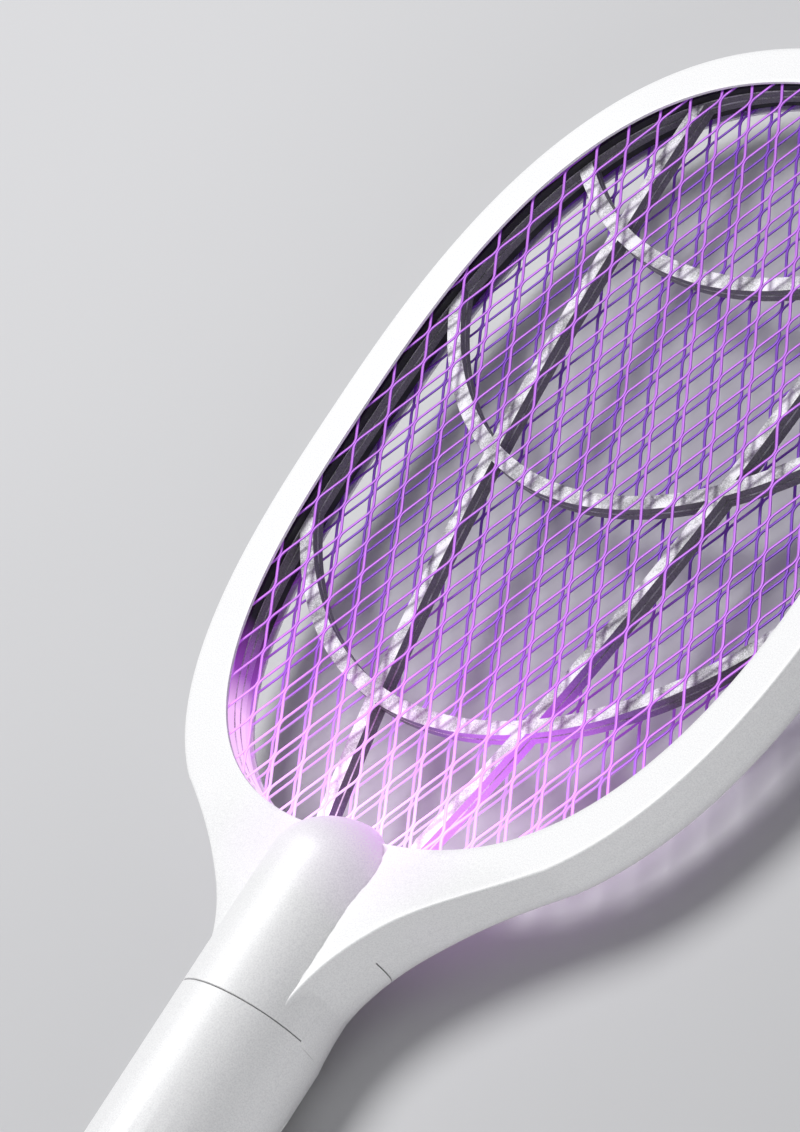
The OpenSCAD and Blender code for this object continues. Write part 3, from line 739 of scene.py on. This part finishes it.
# ------------------------------------------------------------------ inside the rim
def holder_ring(name, side, node):
    prof = [(0.4, RIB_HALF_T), (0.4, 3.95), (0.5, 4.05), (2.45, 4.05), (2.45, 5.1), (2.55, 5.2),
            (RIM_REACH, 5.2), (RIM_REACH, RIB_HALF_T)]
    o = new_object(name, *ring_sweep([(g, side * z) for g, z in prof]))
    return finish_piece(o, holder_painted_shade, [node], sharp=30)


holder_ring("front_holder_ring", 1, "front_mesh_holder")
holder_ring("rear_holder_ring", -1, "rear_mesh_holder")

RIB_W = 4.2
SPOKE_R = 680
SPOKE_X, SPOKE_Y = SPOKE_R - 50.1, HEAD_Y + 95      # centre of a long rib's circle
# radius and lowest point of the three bowed ribs
ARCS = [(117.6, HEAD_Y - 76.7), (109.6, HEAD_Y - 10.1), (117.6, HEAD_Y + 56.5)]


def clip(poly, centre, radius, outside):
    """Keeps the part of a closed polygon outside (or inside) a circle, following its arc."""
    if len(poly) < 3:
        return poly
    c = np.array(centre)

    def sign(p):
        d = np.linalg.norm(p - c) - radius
        return d if outside else -d
    values = [sign(p) for p in poly]
    if min(values) >= 0:
        return poly
    if max(values) <= 0:
        return []
    n = len(poly)
    first = next(i for i in range(n) if values[i] < 0 <= values[(i + 1) % n])
    out = []
    for k in range(1, n + 1):
        i, j = (first + k) % n, (first + k + 1) % n
        if values[i] >= 0:
            if values[i - 1] < 0:
                f = values[i - 1] / (values[i - 1] - values[i])
                out.append(("enter", poly[i - 1] + (poly[i] - poly[i - 1]) * f))
            out.append(("in", poly[i]))
            if values[j] < 0:
                f = values[i] / (values[i] - values[j])
                out.append(("leave", poly[i] + (poly[j] - poly[i]) * f))
    result = []
    for k, (kind, p) in enumerate(out):
        result.append(p)
        if kind == "leave":
            q = out[(k + 1) % len(out)][1]
            steps = max(2, int(np.linalg.norm(q - p) / 2.5))
            for s in range(1, steps):
                m = p + (q - p) * s / steps
                result.append(c + (m - c) / np.linalg.norm(m - c) * radius)
    return result


def rib_cells(rib_w, grow):
    """The clear cells between the ribs, for ribs of one width and an opening grown by so much."""
    edge = [np.array(v) for v in opening(np.linspace(0, 2 * math.pi, 300, endpoint=False), grow)]
    cells = []
    for column in (-1, 0, 1):
        for row in range(4):
            poly = edge
            for s in (-1, 1):
                c = (-s * SPOKE_X, SPOKE_Y)
                if column == s:
                    poly = clip(poly, c, SPOKE_R + rib_w / 2, True)
                else:
                    poly = clip(poly, c, SPOKE_R - rib_w / 2, False)
            if row > 0:
                r, low = ARCS[row - 1]
                poly = clip(poly, (0, low + r), r - rib_w / 2, False)
            if row < 3:
                r, low = ARCS[row]
                poly = clip(poly, (0, low + r), r + rib_w / 2, True)
            if len(poly) > 3:
                cells.append(tidy(poly))
    return cells


def tidy(poly, least=0.05):
    """Leaves out points of a closed polygon that lie nearly on each other."""
    out = []
    for p in poly:
        if not out or np.linalg.norm(p - out[-1]) > least:
            out.append(p)
    if np.linalg.norm(out[0] - out[-1]) < least:
        out.pop()
    return out


def plate_with_holes(name, outline, holes, z0, z1, edge):
    """A flat plate with rounded rims, from a filled curve."""
    curve = bpy.data.curves.new(name, "CURVE")
    curve.dimensions, curve.fill_mode = "2D", "BOTH"
    curve.extrude, curve.bevel_depth = ((z1 - z0) / 2 - edge) * MM, edge * MM
    curve.bevel_resolution, curve.offset = 1, -edge * MM
    for poly in [outline] + holes:
        s = curve.splines.new("POLY")
        s.points.add(len(poly) - 1)
        co = np.c_[np.array(poly) * MM, np.zeros(len(poly)), np.ones(len(poly))]
        s.points.foreach_set("co", co.ravel())
        s.use_cyclic_u = True
    o = bpy.data.objects.new(name, curve)
    bpy.context.scene.collection.objects.link(o)
    bpy.context.view_layer.update()
    me = bpy.data.meshes.new_from_object(o.evaluated_get(bpy.context.evaluated_depsgraph_get()))
    me.transform(Matrix.Translation((0, 0, ((z0 + z1) / 2 + AXIS) * MM)))
    bpy.data.objects.remove(o)
    bm = bmesh.new()
    bm.from_mesh(me)
    bmesh.ops.remove_doubles(bm, verts=bm.verts, dist=3e-6)
    bmesh.ops.recalc_face_normals(bm, faces=bm.faces)
    bm.to_mesh(me)
    bm.free()
    o = bpy.data.objects.new(name, me)
    bpy.context.scene.collection.objects.link(o)
    return o


GROOVE = 0.6                            # depth of the groove where the two rib grids meet
cells, core_cells = rib_cells(RIB_W, 0), rib_cells(RIB_W - 2 * GROOVE, GROOVE)
notch = rect(34, 30, 0, OPEN_Y - OPEN_L - 8)            # room for the lamp board in the ring


def rib_grid(name, side, node):
    rim = [np.array(v) for v in opening(np.linspace(0, 2 * math.pi, 360, endpoint=False), RIM_REACH)]
    z = sorted((0.2 * side, RIB_HALF_T * side))
    o = plate_with_holes(name, rim, cells, z[0], z[1], 0.15)
    z = sorted((0.0, 0.35 * side))
    core_rim = [np.array(v) for v in opening(np.linspace(0, 2 * math.pi, 360, endpoint=False), 4.8)]
    cut(o, plate_with_holes("core", core_rim, core_cells, z[0], z[1], 0.02), "UNION")
    cut(o, new_object("notch", *prism(notch, -3, 3)))
    finish_piece(o, rib_grey, [node], sharp=30)
    o.data.materials.append(ring_grey)
    middles = np.array([f.center[:2] for f in o.data.polygons]) / MM
    on_ring = ~inside_opening(middles, -0.3)
    o.data.polygons.foreach_set("material_index", on_ring.astype(np.int32))
    return o


rib_grid("front_ribs", 1, "front_rib_grid")
rib_grid("rear_ribs", -1, "rear_rib_grid")

# ------------------------------------------------------------------ expanded meshes
LONG, SHORT, FIRST_X = 17.88, 11.32, -6.0
STRAND_W, STRAND_T, TILT = 0.95, 0.36, math.radians(-14)
BOND = 0.34                             # half the distance between two strands at a knuckle
COLUMNS = range(-17, 19)                # columns of strands, enough to cross the opening


def zigzag(k):
    """Middle line of the strand between knuckle columns k and k + 1."""
    h = 0.2
    j = np.arange(-14, 14)
    u = np.array([0, 0.05, 0.1, 0.15, 0.2, 0.26, 0.38, 0.5, 0.62, 0.74, 0.8, 0.85, 0.9, 0.95])
    s = np.where(u < h, u * u / (2 * h * (1 - h)), (u - h / 2) / (1 - h))
    s = np.where(u > 1 - h, 1 - (1 - u) ** 2 / (2 * h * (1 - h)), s)
    left, right = FIRST_X + SHORT / 2 * k + BOND, FIRST_X + SHORT / 2 * (k + 1) - BOND
    pts = []
    for a in j:
        x0, x1 = (left, right) if (k + a) % 2 == 0 else (right, left)
        for uu, ss in zip(u, s):
            pts.append((x0 + (x1 - x0) * ss, OPEN_Y + LONG / 2 * (a + uu)))
    return np.array(pts)


def runs(line, grow):
    """Stretches of a line inside the opening, ended on its edge."""
    ok = inside_opening(line, grow)
    out, i = [], 0
    while i < len(line):
        if ok[i]:
            j = i
            while j + 1 < len(line) and ok[j + 1]:
                j += 1
            part = list(line[i:j + 1])
            for inner, outer, where in ((i, i - 1, 0), (j, j + 1, 1)):
                if 0 <= outer < len(line):
                    a, b = line[inner], line[outer]
                    for _ in range(12):
                        m = (a + b) / 2
                        if inside_opening(m[None], grow)[0]:
                            a = m
                        else:
                            b = m
                    part.insert(0, a) if where == 0 else part.append(a)
            if len(part) >= 3:
                out.append(np.array(part))
            i = j + 1
        else:
            i += 1
    return out


def ribbon(line, z):
    """A strand along a line, leaning over by TILT, with chamfered corners."""
    n = len(line)
    p = np.c_[line, np.full(n, z)]
    t = np.gradient(p, axis=0)
    t /= np.linalg.norm(t, axis=1)[:, None]
    up = np.array([math.sin(TILT), 0, math.cos(TILT)])
    w = np.cross(t, up)
    w /= np.linalg.norm(w, axis=1)[:, None]
    v = np.cross(w, t)
    a, b, c = STRAND_W / 2, STRAND_T / 2, 0.1
    section = [(a, -b + c), (a, b - c), (a - c, b), (c - a, b),
               (-a, b - c), (-a, c - b), (c - a, -b), (a - c, -b)]
    rows = np.stack([p + w * x + v * y for x, y in section], 1)
    m = len(section)
    faces = grid_faces(n, m, closed_rows=False)
    faces += [list(range(m)), [(n - 1) * m + i for i in range(m)][::-1]]
    return rows.reshape(-1, 3), faces


def mesh_sheet(name, side, mat, node):
    z = MESH_Z * side
    parts = []
    for k in COLUMNS:
        for line in runs(zigzag(k), 1.7):
            parts.append(ribbon(line, z))
    parts.append(ring_sweep([(1.3, z - 0.2), (1.3, z + 0.2), (2.35, z + 0.2), (2.35, z - 0.2)]))
    lug = rect(6, 8, -26 * side, corners(node)[0][1] + 4)         # the tab that the lead is soldered to
    parts.append(prism(lug, z - 0.2, z + 0.2))
    o = new_object(name, *merge(parts))
    return finish_piece(o, mat, [node], sharp=50)


mesh_sheet("front_strands", 1, front_strand, "front_mesh")
mesh_sheet("rear_strands", -1, rear_strand, "rear_mesh")


# ------------------------------------------------------------------ controls
def refined(node, name, width, mat, body):
    """A copy of a CAD node with softened edges, in its place."""
    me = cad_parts[node].data.copy()
    bm = bmesh.new()
    bm.from_mesh(me)
    bmesh.ops.remove_doubles(bm, verts=bm.verts, dist=1e-6)
    bmesh.ops.dissolve_limit(bm, angle_limit=math.radians(2), verts=bm.verts, edges=bm.edges)
    bm.to_mesh(me)
    bm.free()
    o = bpy.data.objects.new(name, me)
    bpy.context.scene.collection.objects.link(o)
    round_edges(o, width, 3, 35)
    return finish_piece(o, mat, [node], body, 30)


refined("zap_button", "zap_button_cap", 0.5, grey_control, "button")
refined("mode_knob", "mode_knob_cap", 0.12, grey_control, "mode_slider")

# ------------------------------------------------------------------ floor, lights, camera
def stage_material():
    m = Nodes("floor_pale")
    dust = m.noise(3, 2, 0.5)
    return m.set(Base_Color=m.mix(dust, (0.54, 0.54, 0.55), (0.58, 0.58, 0.59)), Roughness=0.9)


floor_mesh = bpy.data.meshes.new("floor")
floor_mesh.from_pydata([(-4, -4, 0), (4, -4, 0), (4, 4, 0), (-4, 4, 0)], [], [[0, 1, 2, 3]])
floor = bpy.data.objects.new("floor", floor_mesh)
floor_mesh.materials.append(stage_material())
bpy.context.scene.collection.objects.link(floor)


def area_light(name, place, target, size, power):
    data = bpy.data.lights.new(name, "AREA")
    data.shape, data.size, data.energy = "DISK", size, power
    o = bpy.data.objects.new(name, data)
    o.location = place
    o.rotation_euler = (Vector(target) - Vector(place)).to_track_quat("-Z", "Y").to_euler()
    bpy.context.scene.collection.objects.link(o)


middle = (0, 0.05, 0.02)
area_light("key", (-0.62, 0.3, 1.32), middle, 0.8, 20.5)
area_light("fill", (1.5, -1.0, 0.45), middle, 0.9, 9)

bpy.context.scene.view_settings.view_transform = "Standard"
world = bpy.data.worlds.new("studio")
world.use_nodes = True
background = world.node_tree.nodes["Background"]
background.inputs["Color"].default_value = (0.95, 0.96, 1.0, 1)
background.inputs["Strength"].default_value = 0.23
bpy.context.scene.world = world

view = Vector((-0.778, 0.283, -0.561)).normalized()
up = Vector((-0.129, 0.802, 0.583))
right = view.cross(up).normalized()
up = right.cross(view).normalized()
cam_data = bpy.data.cameras.new("camera")
cam_data.lens, cam_data.sensor_width, cam_data.sensor_fit = 195.9, 36, "AUTO"
cam_data.clip_end = 20
cam = bpy.data.objects.new("camera", cam_data)
rotation = Matrix((right, up, -view)).transposed().to_4x4()
cam.matrix_world = Matrix.Translation((1.135, -0.350, 0.875)) @ rotation
bpy.context.scene.collection.objects.link(cam)
bpy.context.scene.camera = cam
